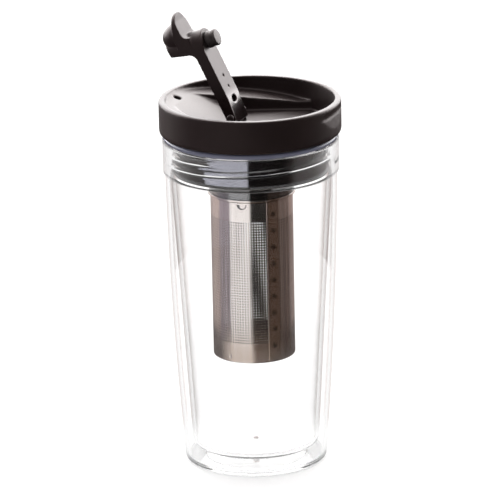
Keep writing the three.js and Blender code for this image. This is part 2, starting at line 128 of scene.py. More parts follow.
def lathe(name, profile, steps=160):  # profile of radius and height, turned about the flask's axis
    onAxis = profile[0][0] == 0 and profile[-1][0] == 0
    piece = drawLine(name, [(r, 0, z) for r, z in profile], not onAxis)
    bpy.ops.mesh.select_all(action="SELECT")
    bpy.ops.mesh.spin(steps=steps, angle=2 * math.pi, center=(0, 0, 0), axis=(0, 0, 1))
    return tidyMesh(piece)


def prism(name, outline, reach):  # a flat outline pulled along a vector, in millimetres
    piece = drawLine(name, outline, True)
    bpy.ops.mesh.edge_face_add()
    bpy.ops.mesh.extrude_region_move(TRANSFORM_OT_translate={"value": Vector(reach) * mm})
    return tidyMesh(piece)


def rod(name, radius, start, end, sides=48):  # a round bar between two points, in millimetres
    start, end = Vector(start) * mm, Vector(end) * mm
    along = end - start
    bpy.ops.object.select_all(action="DESELECT")
    bpy.ops.mesh.primitive_cylinder_add(vertices=sides, radius=radius * mm, depth=along.length)
    piece = bpy.context.object
    piece.name = name
    piece.data.name = name
    turn = along.to_track_quat("Z", "Y").to_matrix().to_4x4()
    piece.data.transform(Matrix.Translation((start + end) / 2) @ turn)
    return piece


def applyChange(piece, change):
    pick(piece)
    bpy.ops.object.modifier_apply(modifier=change.name)


def carve(piece, tool, how="DIFFERENCE"):
    change = piece.modifiers.new("carve", "BOOLEAN")
    change.operation = how
    change.solver = "EXACT"
    change.object = tool
    applyChange(piece, change)
    bpy.data.objects.remove(tool, do_unlink=True)
    return piece


def soften(piece, grain, passes):  # every edge gets the small radius of a moulding
    remesh = piece.modifiers.new("remesh", "REMESH")
    remesh.mode = "VOXEL"
    remesh.voxel_size = grain * mm
    applyChange(piece, remesh)
    ease = piece.modifiers.new("ease", "SMOOTH")
    ease.factor = 0.5
    ease.iterations = passes
    applyChange(piece, ease)
    pick(piece)
    bpy.ops.object.shade_smooth()
    return piece


def joinInto(piece, others):
    pick(piece)
    for other in others:
        other.select_set(True)
    bpy.ops.object.join()
    return piece


def arc(x, z, radius, start, end, steps=8):
    angles = [math.radians(start + (end - start) * i / steps) for i in range(steps + 1)]
    return [(x + radius * math.cos(a), z + radius * math.sin(a)) for a in angles]


# Shader maths


class Wire:  # a shader value that sums can be written with
    def __init__(self, socket):
        self.socket = socket

    def out(self, name):
        return Wire(self.socket.node.outputs[name])

    def math(self, operation, first, second=0.0, third=0.0):
        tree = self.socket.id_data
        return addNode(tree, "ShaderNodeMath", dict(operation=operation), {0: first, 1: second, 2: third})

    def __add__(self, other):
        return self.math("ADD", self, other)

    __radd__ = __add__

    def __sub__(self, other):
        return self.math("SUBTRACT", self, other)

    def __rsub__(self, other):
        return self.math("SUBTRACT", other, self)

    def __mul__(self, other):
        return self.math("MULTIPLY", self, other)

    __rmul__ = __mul__

    def __truediv__(self, other):
        return self.math("DIVIDE", self, other)

    def __lt__(self, other):
        return self.math("LESS_THAN", self, other)

    def __gt__(self, other):
        return self.math("GREATER_THAN", self, other)

    def __pow__(self, other):
        return self.math("POWER", self, other)

    def __abs__(self):
        return self.math("ABSOLUTE", self)


def addNode(tree, kind, settings=None, values=None):
    node = tree.nodes.new(kind)
    for name, setting in (settings or {}).items():
        if name == "stops":
            fillRamp(node.color_ramp, setting)
        else:
            setattr(node, name, setting)
    for name, value in (values or {}).items():
        if isinstance(value, Wire):
            tree.links.new(value.socket, node.inputs[name])
        else:
            node.inputs[name].default_value = value
    return Wire(node.outputs[0]) if node.outputs else None


def fillRamp(ramp, stops):
    while len(ramp.elements) < len(stops):
        ramp.elements.new(0.5)
    for element, (place, color) in zip(ramp.elements, stops):
        element.position = place
        element.color = (*color, 1)


def mixColors(tree, factor, first, second):
    settings = dict(data_type="RGBA", clamp_factor=True)
    mixed = addNode(tree, "ShaderNodeMix", settings, {0: factor, 6: first, 7: second})
    return Wire(mixed.socket.node.outputs[2])


def paint(color):
    return (*color, 1)


def ease(value, low, high):  # 0 below low, 1 above high
    tree = value.socket.id_data
    settings = dict(interpolation_type="SMOOTHSTEP")
    return addNode(tree, "ShaderNodeMapRange", settings, {0: value, 1: low, 2: high})


def newFinish(name):
    finish = bpy.data.materials.new(name)
    finish.use_nodes = True
    tree = finish.node_tree
    return finish, tree, tree.nodes["Principled BSDF"]


def objectPlace(tree):
    return addNode(tree, "ShaderNodeTexCoord").out("Object")


def noise(tree, place, scale, detail=2.0):
    return addNode(tree, "ShaderNodeTexNoise", None, {"Vector": place, "Scale": scale, "Detail": detail})


def stretch(tree, place, scale):
    return addNode(tree, "ShaderNodeMapping", None, {"Vector": place, "Scale": scale})


def bump(tree, height, strength, distance):
    values = {"Height": height, "Strength": strength, "Distance": distance * mm}
    return addNode(tree, "ShaderNodeBump", None, values)


def feed(tree, shader, **links):
    for name, wire in links.items():
        tree.links.new(wire.socket, shader.inputs[name.replace("_", " ")])


def setSockets(shader, **values):
    for name, value in values.items():
        shader.inputs[name.replace("_", " ")].default_value = value


# Finishes

basket = dict(
    radius=19.3, sheet=0.4, top=132.1, bottom=52.9,
    flange=1.2, rimHeight=1.3, rimEdge=0.4, rimShade=0.5,  # the rolled rim that hangs in the lid, with a band of painted shade under it
    seamAzimuth=-41, seamWidth=6.1, seamProud=0.35, seamEdge=0.2,
    columns=93, rows=47, holeRadius=0.4, firstRow=62.2, rowPitch=1.272,
    moonAzimuths=(-84, 96), moonRadius=2.4, moonDepth=0.9, moonZ=129.6,  # half-moon lugs pressed inwards
    welds=9, weldPitch=8, firstWeld=60.5, weldRadius=2.4, weldDepth=0.22,
    floorWeldZ=55.2, floorWelds=6, floorWeldAzimuth=-45,
)

clearLook = dict(
    outerEdge=(0.36, 0.23, 0.19), outerFrom=0.7, outerTo=0.92,  # tint where the outer wall is seen edge-on
    linerEdge=(0.14, 0.055, 0.035), linerFrom=0.64, linerTo=0.9,
    collarEdge=(0.26, 0.19, 0.18), collarFrom=0.42, collarTo=1.0,
    tintFrom=12, tintTo=22,  # heights between which the tint sets in
    gate=(0.06, 0.03, 0.025), gateRadius=1.5,  # the mark where the liner was moulded
    mirror=0.3,  # share of the usual reflection, since the photo's cup shows its white ground through
    shadow=0.12,
)


def clearPlasticFinish(name, edge, edgeFrom, edgeTo, moulded=False):
    finish, tree, shader = newFinish(name)
    facing = addNode(tree, "ShaderNodeLayerWeight", None, {"Blend": 0.5}).out("Facing")
    split = addNode(tree, "ShaderNodeSeparateXYZ", None, {0: objectPlace(tree)})
    z = split.out("Z")
    rim = ease(facing, edgeFrom, edgeTo) * ease(z, clearLook["tintFrom"] * mm, clearLook["tintTo"] * mm)
    color = mixColors(tree, rim, paint((1, 1, 1)), paint(edge))
    shadowRay = addNode(tree, "ShaderNodeLightPath").out("Is Shadow Ray")
    if moulded:
        reach = (split * split + split.out("Y") * split.out("Y")) ** 0.5
        color = mixColors(tree, reach < clearLook["gateRadius"] * mm, color, paint(clearLook["gate"]))
    feed(tree, shader, Base_Color=color, Alpha=1 - (1 - clearLook["shadow"]) * shadowRay)
    setSockets(shader, Roughness=0.0, IOR=1.5, Transmission_Weight=1.0)
    setSockets(shader, Specular_Tint=paint([clearLook["mirror"]] * 3))
    return finish


lidLook = dict(
    dark=(0.008, 0.0046, 0.0046), light=(0.0135, 0.0078, 0.0078), sheen=(1.0, 0.8, 0.79),
    wellRadius=39.7, wellTop=174.8, wellCoat=0.2,  # the top inside the rim is the smoother part
    footX=-6.7, footZ=167.3, footFrom=7, footTo=13, footRub=0.3,  # the lever is rubbed smooth at its foot
)


def satinBlackFinish(name, coat, rub):
    finish, tree, shader = newFinish(name)
    place = objectPlace(tree)
    cloud = noise(tree, place, 70, 3)
    grain = noise(tree, place, 1900, 3)
    color = mixColors(tree, cloud, paint(lidLook["dark"]), paint(lidLook["light"]))
    split = addNode(tree, "ShaderNodeSeparateXYZ", None, {0: place})
    reach = (split * split + split.out("Y") * split.out("Y")) ** 0.5
    well = (reach < lidLook["wellRadius"] * mm) * (split.out("Z") < lidLook["wellTop"] * mm)
    across, rise = split - lidLook["footX"] * mm, split.out("Z") - lidLook["footZ"] * mm
    apart = (across * across + rise * rise) ** 0.5
    smoothed = rub * (1 - ease(apart, lidLook["footFrom"] * mm, lidLook["footTo"] * mm))
    feed(
        tree,
        shader,
        Base_Color=color,
        Roughness=0.42 + 0.08 * cloud - smoothed,
        Coat_Weight=coat * well * (0.5 + grain),
        Normal=bump(tree, grain, 0.3, 0.05),
    )
    setSockets(shader, Specular_IOR_Level=0.32, Specular_Tint=paint(lidLook["sheen"]))
    setSockets(shader, Coat_Roughness=0.37, Coat_IOR=1.6, Coat_Tint=paint((1.0, 0.94, 0.91)))
    return finish


def glossBlackFinish():  # the lid's neck came out of a polished mould
    finish, tree, shader = newFinish("glossBlack")
    cloud = noise(tree, objectPlace(tree), 70, 3)
    color = mixColors(tree, cloud, paint((0.004, 0.0032, 0.0032)), paint((0.008, 0.0062, 0.006)))
    feed(tree, shader, Base_Color=color, Roughness=0.08 + 0.05 * cloud)
    setSockets(shader, Specular_IOR_Level=1.0, Coat_Weight=0.8, Coat_Roughness=0.03, Coat_IOR=1.7)
    return finish


def siliconeFinish(name, dark, light, sheen, rough):
    finish, tree, shader = newFinish(name)
    place = objectPlace(tree)
    cloud = noise(tree, place, 150, 3)
    grain = noise(tree, place, 2600, 2)
    color = mixColors(tree, cloud, paint(dark), paint(light))
    feed(
        tree,
        shader,
        Base_Color=color,
        Roughness=rough + 0.12 * cloud,
        Normal=bump(tree, grain, 0.2, 0.03),
    )
    setSockets(shader, Specular_Tint=paint(sheen))
    return finish


steelLook = dict(
    dark=(0.5, 0.455, 0.43), light=(0.64, 0.6, 0.58),
    inside=(0.03, 0.025, 0.023),  # painted shade: the tube's inner face is made near black, and rougher
    seam=(0.46, 0.4, 0.36),
    heat=(0.09, 0.06, 0.045), heatRadius=1.9,  # brown smudge round each spot weld; the same brown is the painted shade under the rim
)


def steelFinish():
    finish, tree, shader = newFinish("rolledSteel")
    place = objectPlace(tree)
    split = addNode(tree, "ShaderNodeSeparateXYZ", None, {0: place})
    x, y, z = split, split.out("Y"), split.out("Z")
    reach = (x * x + y * y) ** 0.5
    streaks = noise(tree, stretch(tree, place, (1, 1, 0.02)), 900, 3)
    cloud = noise(tree, place, 90, 2)
    color = mixColors(tree, streaks, paint(steelLook["dark"]), paint(steelLook["light"]))
    low = basket["moonZ"] - 2 * basket["moonRadius"]
    # painted shade: inside the tube, below the half-moons, the steel is made near black
    inside = (reach < (basket["radius"] - 0.5 * basket["sheet"]) * mm) * (z < low * mm)
    color = mixColors(tree, inside, color, paint(steelLook["inside"]))
    # distance to the nearest spot weld down the seam
    pitch, seam = basket["weldPitch"] * mm, math.radians(basket["seamAzimuth"])
    along = (z - basket["firstWeld"] * mm) / pitch + 0.5
    rise = (along.math("FRACT", along) - 0.5) * pitch
    across = y * math.cos(seam) - x * math.sin(seam)
    front = x * math.cos(seam) + y * math.sin(seam) > 0
    strip = (abs(across) < basket["seamWidth"] / 2 * mm) * front
    color = mixColors(tree, strip * (1 - inside), color, paint(steelLook["seam"]))
    smudge = noise(tree, place, 700, 3)
    apart = (rise * rise + across * across) ** 0.5 + (smudge - 0.5) * steelLook["heatRadius"] * mm
    heat = (1 - ease(apart, 0.2 * steelLook["heatRadius"] * mm, steelLook["heatRadius"] * mm)) * front
    color = mixColors(tree, heat * (0.4 + 0.5 * cloud), color, paint(steelLook["heat"]))
    # painted shade: a thin dark band just under the rolled rim, in the welds' brown
    rimLow = basket["top"] - basket["rimHeight"]
    under = (z > (rimLow - basket["rimShade"]) * mm) * (z < rimLow * mm)
    color = mixColors(tree, under * 0.8, color, paint(steelLook["heat"]))
    feed(
        tree,
        shader,
        Base_Color=color,
        Roughness=0.1 + 0.05 * streaks + 0.03 * cloud + 0.25 * inside,
        Normal=bump(tree, streaks, 0.06, 0.02),
    )
    setSockets(shader, Metallic=1.0)
    return finish


def darkSteelFinish():  # the hinge pin, blackened
    finish, tree, shader = newFinish("darkSteel")
    cloud = noise(tree, objectPlace(tree), 400, 3)
    color = mixColors(tree, cloud, paint((0.03, 0.028, 0.028)), paint((0.06, 0.055, 0.055)))
    feed(tree, shader, Base_Color=color, Roughness=0.4 + 0.1 * cloud)
    setSockets(shader, Metallic=1.0)
    return finish


outerPlastic = clearPlasticFinish(
    "outerPlastic", clearLook["outerEdge"], clearLook["outerFrom"], clearLook["outerTo"],
)
linerPlastic = clearPlasticFinish(
    "linerPlastic", clearLook["linerEdge"], clearLook["linerFrom"], clearLook["linerTo"], True,
)
collarPlastic = clearPlasticFinish(
    "collarPlastic", clearLook["collarEdge"], clearLook["collarFrom"], clearLook["collarTo"],
)
satinBlack = satinBlackFinish("satinBlack", lidLook["wellCoat"], 0)
leverBlack = satinBlackFinish("leverBlack", 0, lidLook["footRub"])
glossBlack = glossBlackFinish()
paleSilicone = siliconeFinish("paleSilicone", (0.085, 0.088, 0.13), (0.125, 0.13, 0.18), (1, 1, 1), 0.32)
darkSilicone = siliconeFinish(
    "darkSilicone", (0.012, 0.0095, 0.0095), (0.02, 0.016, 0.016), (1, 0.86, 0.84), 0.45,
)
rolledSteel = steelFinish()
darkSteel = darkSteelFinish()
print("finishes ready")


def dress(piece, finish, body, slot, *nodes):
    piece.data.materials.clear()
    piece.data.materials.append(finish)
    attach(piece, body)
    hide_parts(*nodes)
    print("made", piece.name, len(piece.data.polygons), "faces")


# Cup

wall = dict(
    height=141,
    baseRadius=33.3,
    topRadius=40.2,
    bulge=1.25,  # how far the side swells beyond a straight cone
    thickness=2,
    floor=2.5,
    corner=1.8,
    recess=0.8,  # hollow inside the ring it stands on
    footWidth=8,
    rings=36,
)
liner = dict(
    bottom=7, top=141, baseRadius=29.9, topRadius=37.7, thickness=2, floor=2, corner=5, rings=12,
    gateRadius=1.3, gateHeight=0.25,
)
collar = dict(bottom=141.1, top=156.7, bore=37.3, radius=41.2, edge=0.6)
thread = dict(lead=9, starts=2, turn=270, base=2, crest=1, fade=20, sink=0.6, steps=90)


def wallRadius(z):
    share = z / wall["height"]
    cone = wall["baseRadius"] + (wall["topRadius"] - wall["baseRadius"]) * share
    return cone + 4 * wall["bulge"] * share * (1 - share)


def linerRadius(z):
    share = (z - liner["bottom"]) / (liner["top"] - liner["bottom"])
    return liner["baseRadius"] + (liner["topRadius"] - liner["baseRadius"]) * share


def sideUp(radiusAt, low, high, rings):
    heights = [low + (high - low) * i / rings for i in range(1, rings + 1)]
    return [(radiusAt(z), z) for z in heights]


# From the foot's edge up, over the lip and down to the inner floor
def cupSide(radiusAt, bottom, top, floor, thickness, corner, rings):
    outerArc = radiusAt(bottom + corner) - corner
    inner = max(corner - thickness, thickness / 2)
    innerArc = radiusAt(bottom + floor + inner) - thickness - inner
    within = sideUp(lambda z: radiusAt(z) - thickness, bottom + floor + inner, top, rings)
    return [
        *arc(outerArc, bottom + corner, corner, -90, 0),
        *sideUp(radiusAt, bottom + corner, top, rings),
        *reversed(within),
        *arc(innerArc, bottom + floor + inner, inner, 0, -90),
        (0, bottom + floor),
    ]


def makeOuterWall():
    recess = wall["baseRadius"] - wall["corner"] - wall["footWidth"]
    side = cupSide(
        wallRadius, 0, wall["height"], wall["floor"], wall["thickness"], wall["corner"], wall["rings"],
    )
    depth = wall["recess"]
    foot = [(0, depth), *arc(recess, 0, depth, 90, 0, 5), *side]
    return smooth(lathe("outer_wall_clear", foot))


def makeLiner():
    side = cupSide(
        linerRadius, liner["bottom"], liner["top"], liner["floor"],
        liner["thickness"], liner["corner"], liner["rings"],
    )
    gateZ = liner["bottom"] - liner["gateHeight"]
    gate = [(0, gateZ), (liner["gateRadius"], gateZ), (liner["gateRadius"], liner["bottom"])]
    return smooth(lathe("inner_liner_clear", [*gate, *side]))


def ridge(root, crest, firstZ, start):  # one start of the screw thread
    base, tip = thread["base"] / 2, thread["crest"] / 2
    section = [(root, -base), (crest, -tip), (crest, tip), (root, base)]
    piece = drawLine("ridge", [(radius, 0, firstZ + z) for radius, z in section], True)
    bpy.ops.object.mode_set(mode="OBJECT")
    sweep = piece.modifiers.new("sweep", "SCREW")
    sweep.angle = math.radians(thread["turn"])
    sweep.screw_offset = thread["lead"] * thread["turn"] / 360 * mm
    sweep.steps = sweep.render_steps = thread["steps"]
    applyChange(piece, sweep)
    for vertex in piece.data.vertices:  # the crest runs out at both ends
        turned = math.degrees(math.atan2(vertex.co.y, vertex.co.x)) % 360
        turned = 0 if turned > 359 else turned
        left = min(turned, thread["turn"] - turned) + 1
        radius = math.hypot(vertex.co.x, vertex.co.y) / mm
        wanted = root + (radius - root) * min(1, left / thread["fade"])
        vertex.co.x *= wanted / radius
        vertex.co.y *= wanted / radius
    editAll(piece)
    bpy.ops.mesh.fill_holes(sides=4)
    tidyMesh(piece)
    piece.data.transform(Matrix.Rotation(math.radians(start), 4, "Z"))
    return piece


def addThread(piece, root, crest, firstZ):
    for start in range(thread["starts"]):
        carve(piece, ridge(root, crest, firstZ, 360 * start / thread["starts"]), "UNION")
    return piece


def makeCollar():
    edge, low, high = collar["edge"], collar["bottom"], collar["top"]
    ring = lathe("neck_collar_clear", [
        (collar["bore"], low),
        *arc(collar["radius"] - edge, low + edge, edge, -90, 0, 5),
        *arc(collar["radius"] - edge, high - edge, edge, 0, 90, 5),
        (collar["bore"], high),
    ])
    firstZ = neck["threadZ"] + thread["lead"] / thread["starts"] / 2
    addThread(ring, collar["bore"] + thread["sink"], neck["radius"] + neck["threadGap"], firstZ)
    return smooth(ring)


# Lid

neck = dict(
    radius=35.6, bore=33.1, bottom=141.5, top=159.2, floor=2.5, threadZ=144, threadDepth=1.3, threadGap=0.4,
    edge=0.5, bossRadius=19.9, bossBottom=132.2, spigotRadius=18.4, spigotBore=15.4, spigotBottom=122.2,
    slots=4, slotAngle=58, slotMargin=2, margin=1,
)
gasket = dict(inner=35.9, outer=40.9, bottom=156.8, top=159.2)
lid = dict(
    top=175.3, bottom=159.3, radius=42.5, edge=0.5, lowerEdge=2, rim=39.5,
    floorTop=161.8, chamber=33.1, shell=2.2,
    platformDepth=9.2, platformLength=52, valleyHalf=34.8, valleyLength=58,
    rampLength=25.5, rampDepth=1.2, rampSetback=2, margin=1,
    hingeX=-6.7, hingeDepth=8, pinRadius=1, pinReach=8.5, pinEdge=0.3,
    earNear=7.8, earThickness=1.4, earRadius=1.8,
    drinkX=30.3, drinkRadius=4.5, seatRadius=7, seatHeight=2.5,
    ventWidth=3.4, ventLength=3.4, ventSetback=3, ventLean=14, ventReach=20,
    scoopDepth=1.2, scoopHeight=4.6, scoopReach=15, scoopDrop=1.6, scoopStep=1,
    scoopLip=0.35, scoopTaper=9.5,
    steps=24, grain=0.52, passes=7,
)


def makeGasket():
    bead = (gasket["top"] - gasket["bottom"]) / 2
    middle = gasket["bottom"] + bead
    profile = [(gasket["inner"], gasket["bottom"]), *arc(gasket["outer"] - bead, middle, bead, -90, 90, 10)]
    return smooth(lathe("lid_gasket_ring", [*profile, (gasket["inner"], gasket["top"])]))


def ringSector(inner, outer, start, end, low, high):
    outline = [*arc(0, 0, outer, start, end, 16), *arc(0, 0, inner, end, start, 16)]
    return prism("sector", [(x, y, low) for x, y in outline], (0, 0, high - low))


def makeNeck():
    edge = neck["edge"]
    floorTop = neck["bottom"] + neck["floor"]
    tube = lathe("lid_neck_black", [
        (0, neck["bottom"]),
        (neck["spigotBore"], neck["bottom"]),
        *arc(neck["spigotBore"] + edge, neck["spigotBottom"] + edge, edge, 180, 270, 4),
        *arc(neck["spigotRadius"] - edge, neck["spigotBottom"] + edge, edge, 270, 360, 4),
        (neck["spigotRadius"], neck["bossBottom"]),
        (neck["bossRadius"], neck["bossBottom"]),
        *arc(neck["bossRadius"] + 2 * edge, neck["bottom"] - 2 * edge, 2 * edge, 180, 90, 5),
        *arc(neck["radius"] - 2 * edge, neck["bottom"] + 2 * edge, 2 * edge, 270, 360, 5),
        (neck["radius"], neck["top"]),
        (neck["bore"], neck["top"]),
        (neck["bore"], floorTop),
        (0, floorTop),
    ])
    addThread(tube, neck["radius"] - thread["sink"], neck["radius"] + neck["threadDepth"], neck["threadZ"])
    inner = neck["bossRadius"] + neck["slotMargin"]
    outer = neck["bore"] - neck["slotMargin"]
    low, high = neck["bottom"] - neck["margin"], floorTop + neck["margin"]
    for slot in range(neck["slots"]):
        middle = 360 * (slot + 0.5) / neck["slots"]
        half = neck["slotAngle"] / 2
        carve(tube, ringSector(inner, outer, middle - half, middle + half, low, high))
    return smooth(tube)


def platformLine(lower):  # under side of the open space: a sideways parabola from the back of the rim
    shares = [i / lid["steps"] for i in range(lid["steps"] + 1)]
    top, depth = lid["top"] - lower, lid["platformDepth"]
    line = [(lid["platformLength"] * share**2 - lid["rim"], top - depth * share) for share in shares]
    return [*line, (lid["radius"], top - depth)]


def valleyLine(lower):  # a ramp, then level
    rampX = lid["rampSetback"] - lid["rim"]
    return [
        (-lid["radius"], lid["top"] - lower),
        (rampX, lid["top"] - lid["rampDepth"] - lower),
        (rampX + lid["rampLength"], lid["floorTop"] - lower),
        (lid["radius"], lid["floorTop"] - lower),
    ]


def acrossLid(name, outline):
    wide = lid["radius"]
    return prism(name, [(x, -wide, z) for x, z in outline], (0, 2 * wide, 0))


def openAbove(line):
    top = lid["top"] + lid["margin"]
    return acrossLid("above", [*line, (lid["radius"], top), (line[0][0], top)])


def hollowBelow(line):
    low = lid["bottom"] - lid["margin"]
    kept = [(x, max(z, low + lid["margin"] / 2)) for x, z in line]
    return acrossLid("below", [(kept[0][0], low), (lid["radius"], low), *reversed(kept)])


def fan(grow):  # plan of the valley, grown on both sides
    steps, low = lid["steps"], lid["bottom"] - lid["margin"]
    points = []
    for i in range(-steps, steps + 1):
        share = i / steps
        side = lid["valleyHalf"] * share + math.copysign(grow, i) * (i != 0)
        points.append((lid["valleyLength"] * share**2 - lid["rim"] - grow, side, low))
    far = lid["valleyHalf"] + grow
    points += [(lid["radius"], far, low), (lid["radius"], -far, low)]
    return prism("fan", points, (0, 0, lid["top"] - lid["bottom"] + 2 * lid["margin"]))


def disc(name, radius, low, high, x=0, sides=160):
    return rod(name, radius, (x, 0, low), (x, 0, high), sides)


def scoopCutter():  # a groove round a circle larger than the lid, so it runs out at both ends
    radius, reach, depth = lid["radius"], lid["scoopReach"], lid["scoopDepth"]
    sag = radius - math.sqrt(radius**2 - reach**2) - depth
    bend = (reach**2 + sag**2) / (2 * sag)
    half = lid["scoopHeight"] / 2
    middle = lid["top"] - lid["scoopDrop"] - half
    lip, step, low = lid["scoopLip"], middle - lid["scoopStep"], middle - lid["scoopTaper"]
    outside = bend + half + depth
    profile = [
        *arc(bend + half, middle, half, 90, 180, 6),
        (bend, step),
        (bend + lip, step - lip),
        (bend + depth + lip, low),
        (outside, low),
        (outside, middle + half),
    ]
    groove = lathe("scoop", profile, 240)
    groove.data.transform(Matrix.Translation(((radius - depth - bend) * mm, 0, 0)))
    return groove


def ventCutter():
    slot = disc("vent", lid["ventWidth"] / 2, -lid["ventReach"], lid["ventReach"], 0, 32)
    slot.data.transform(Matrix.Diagonal((1, lid["ventLength"] / lid["ventWidth"], 1, 1)))
    lean = Matrix.Rotation(-math.radians(lid["ventLean"]), 4, "Y")
    place = Vector((lid["ventSetback"] - lid["rim"], 0, lid["top"] - lid["rampDepth"])) * mm
    slot.data.transform(Matrix.Translation(place) @ lean)
    return slot


def ear(near):  # one of the two that hold the hinge pin
    x, z, radius = lid["hingeX"], lid["top"] - lid["hingeDepth"], lid["earRadius"]
    foot = lid["bottom"] + lid["margin"]
    outline = [(x - radius, foot), (x + radius, foot), *arc(x, z, radius, 0, 180, 16)]
    return prism("ear", [(x, near, z) for x, z in outline], (0, lid["earThickness"], 0))


def makeCap():
    low, high, margin = lid["bottom"], lid["top"], lid["margin"]
    cap = lathe("lid_cap_black", [
        (0, low),
        *arc(lid["radius"] - lid["lowerEdge"], low + lid["lowerEdge"], lid["lowerEdge"], -90, 0),
        *arc(lid["radius"] - lid["edge"], high - lid["edge"], lid["edge"], 0, 90, 5),
        (0, high),
    ], 192)
    wellTop = high + 2 * margin
    carve(cap, carve(openAbove(platformLine(0)), disc("well", lid["rim"], low, wellTop), "INTERSECT"))
    valley = carve(openAbove(valleyLine(0)), disc("well", lid["rim"], low, wellTop), "INTERSECT")
    carve(cap, carve(valley, fan(0), "INTERSECT"))
    pocket = carve(hollowBelow(platformLine(lid["shell"])), fan(lid["shell"]))
    carve(cap, carve(pocket, disc("chamber", lid["chamber"], low - 2 * margin, high), "INTERSECT"))
    pocket = hollowBelow(valleyLine(lid["shell"]))
    carve(cap, carve(pocket, disc("chamber", lid["chamber"], low - 2 * margin, high), "INTERSECT"))
    carve(cap, ear(lid["earNear"]), "UNION")
    carve(cap, ear(-lid["earNear"] - lid["earThickness"]), "UNION")
    seatTop = lid["floorTop"] + lid["seatHeight"]
    carve(cap, disc("seat", lid["seatRadius"], low + margin, seatTop, lid["drinkX"], 64), "UNION")
    carve(cap, disc("hole", lid["drinkRadius"], low - margin, seatTop + margin, lid["drinkX"], 64))
    reach, x, z = lid["pinReach"], lid["hingeX"], high - lid["hingeDepth"]
    carve(cap, rod("bore", lid["pinRadius"], (x, -reach, z), (x, reach, z)))
    carve(cap, ventCutter())
    carve(cap, scoopCutter())
    return soften(cap, lid["grain"], lid["passes"])


def makePin():
    reach, radius, edge = lid["pinReach"], lid["pinRadius"], lid["pinEdge"]
    pin = lathe("hinge_pin_steel", [
        (0, -reach),
        *arc(radius - edge, edge - reach, edge, -90, 0, 4),
        *arc(radius - edge, reach - edge, edge, 0, 90, 4),
        (0, reach),
    ], 32)
    hinge = Vector((lid["hingeX"], 0, lid["top"] - lid["hingeDepth"])) * mm
    pin.data.transform(Matrix.Translation(hinge) @ Matrix.Rotation(math.pi / 2, 4, "X"))
    return smooth(pin)


# Lever and stopper, drawn shut with the hinge at the origin

lever = dict(
    width=15, openAngle=112, armThickness=5.5, armRise=4.7, tail=3.6, taper=1.05, taperFrom=8.5,
    reach=37, headBack=3.2, headFront=6,
    headBottom=-0.4, headTopBack=17, headTopFront=19.2, headFillet=4, crownReach=7, crownHeight=9.3,
    tabReach=11, tabThickness=2.8, tabTip=1.7, tabRoot=1.2,
    tabRise=0.8, tabDroop=0.15, tabUnder=8.3, tabFillet=3,
    boreGap=0.2, stemRadius=1.8, stemTop=5.9, margin=1,
    holeRadius=1.6, holeStretch=1.5, holeDepth=3, holeReach=7.3,
    marks=(13.6, 19), markRadius=0.7, markDepth=0.6,  # left by the ejector pins
    grain=0.3, passes=6,
)
stopper = dict(radius=4, top=-0.7, bottom=-5.7, edge=0.7, groove=0.25, stem=1.5, stemTop=5.6)


def headSide():  # arm and head
    inner, outer = lever["reach"] - lever["headBack"], lever["reach"] + lever["headFront"]
    slope = math.tan(math.radians(lever["armRise"]))
    half = lever["armThickness"] / 2 / math.cos(math.radians(lever["armRise"]))
    tail, fillet = -lever["tail"], lever["headFillet"]
    return [
        (tail, tail * slope + half),
        (tail, tail * slope - half + lever["taper"]),
        (lever["taperFrom"], lever["taperFrom"] * slope - half),
        (inner, inner * slope - half),
        (inner + lever["headBack"] / 2, lever["headBottom"]),
        (outer, lever["headBottom"]),
        (outer, lever["headTopFront"]),
        (inner + lever["headBack"] / 2, lever["headTopBack"]),
        *arc(inner - fillet, (inner - fillet) * slope + half + fillet, fillet, 0, -90),
    ]


def tabSide():  # thumb tab, thinning towards its tip
    outer, under = lever["reach"] + lever["headFront"], lever["tabUnder"]
    tip, root, fillet = outer + lever["tabReach"], outer - lever["width"] / 2, lever["tabFillet"]
    thick, rise, end = lever["tabThickness"], lever["tabRise"], under + lever["tabRise"] - lever["tabDroop"]
    return [
        (root, under - fillet),
        *arc(outer + fillet / 2, under - fillet, fillet, 180, 90),
        (tip - lever["tabReach"] / 3, under + rise),
        (tip, end),
        (tip, end + lever["tabTip"]),
        (outer + lever["tabReach"] / 2, under + thick + rise / 2),
        (outer, under + thick + lever["tabRoot"]),
        (root, under + thick + lever["tabRoot"]),
    ]


def roundEnd(tip):  # plan that is square at the hinge and a half circle at its tip
    half = lever["width"] / 2
    back = -2 * lever["tail"]
    return [(back, -half), *arc(tip - half, 0, half, -90, 90, 32), (back, half)]


def leverSlab(name, side, tip):
    wide, tall = lever["width"], 2 * lever["headTopFront"]
    slab = prism(name, [(x, -wide, z) for x, z in side], (0, 2 * wide, 0))
    plan = prism("plan", [(x, y, -tall) for x, y in roundEnd(tip)], (0, 0, 2 * tall))
    return carve(slab, plan, "INTERSECT")


def crown():  # rounded front of the head
    low = lever["tabUnder"] + lever["tabThickness"]
    bpy.ops.object.select_all(action="DESELECT")
    bpy.ops.mesh.primitive_uv_sphere_add(segments=48, ring_count=32, radius=mm)
    piece = bpy.context.object
    piece.data.transform(Matrix.Diagonal((lever["crownReach"], lever["width"] / 2, lever["crownHeight"], 1)))
    front = lever["reach"] + lever["headFront"]
    piece.data.transform(Matrix.Translation(Vector((front, 0, low)) * mm))
    editAll(piece)
    cutAt = Vector((front, 0, low)) * mm
    bpy.ops.mesh.bisect(plane_co=cutAt, plane_no=(0, 0, 1), use_fill=True, clear_inner=True)
    return tidyMesh(piece)


def swingOpen(piece):  # from shut, at the origin, to open on its hinge
    hinge = Vector((lid["hingeX"], 0, lid["top"] - lid["hingeDepth"])) * mm
    swing = Matrix.Rotation(-math.radians(lever["openAngle"]), 4, "Y")
    piece.data.transform(Matrix.Translation(hinge) @ swing)
    return piece


def underHole(x, radius, depth):  # a hole in the arm's under side
    under = x * math.tan(math.radians(lever["armRise"])) - lever["armThickness"] / 2
    return rod("hole", radius, (x, 0, under - lever["margin"]), (x, 0, under + depth), 32)


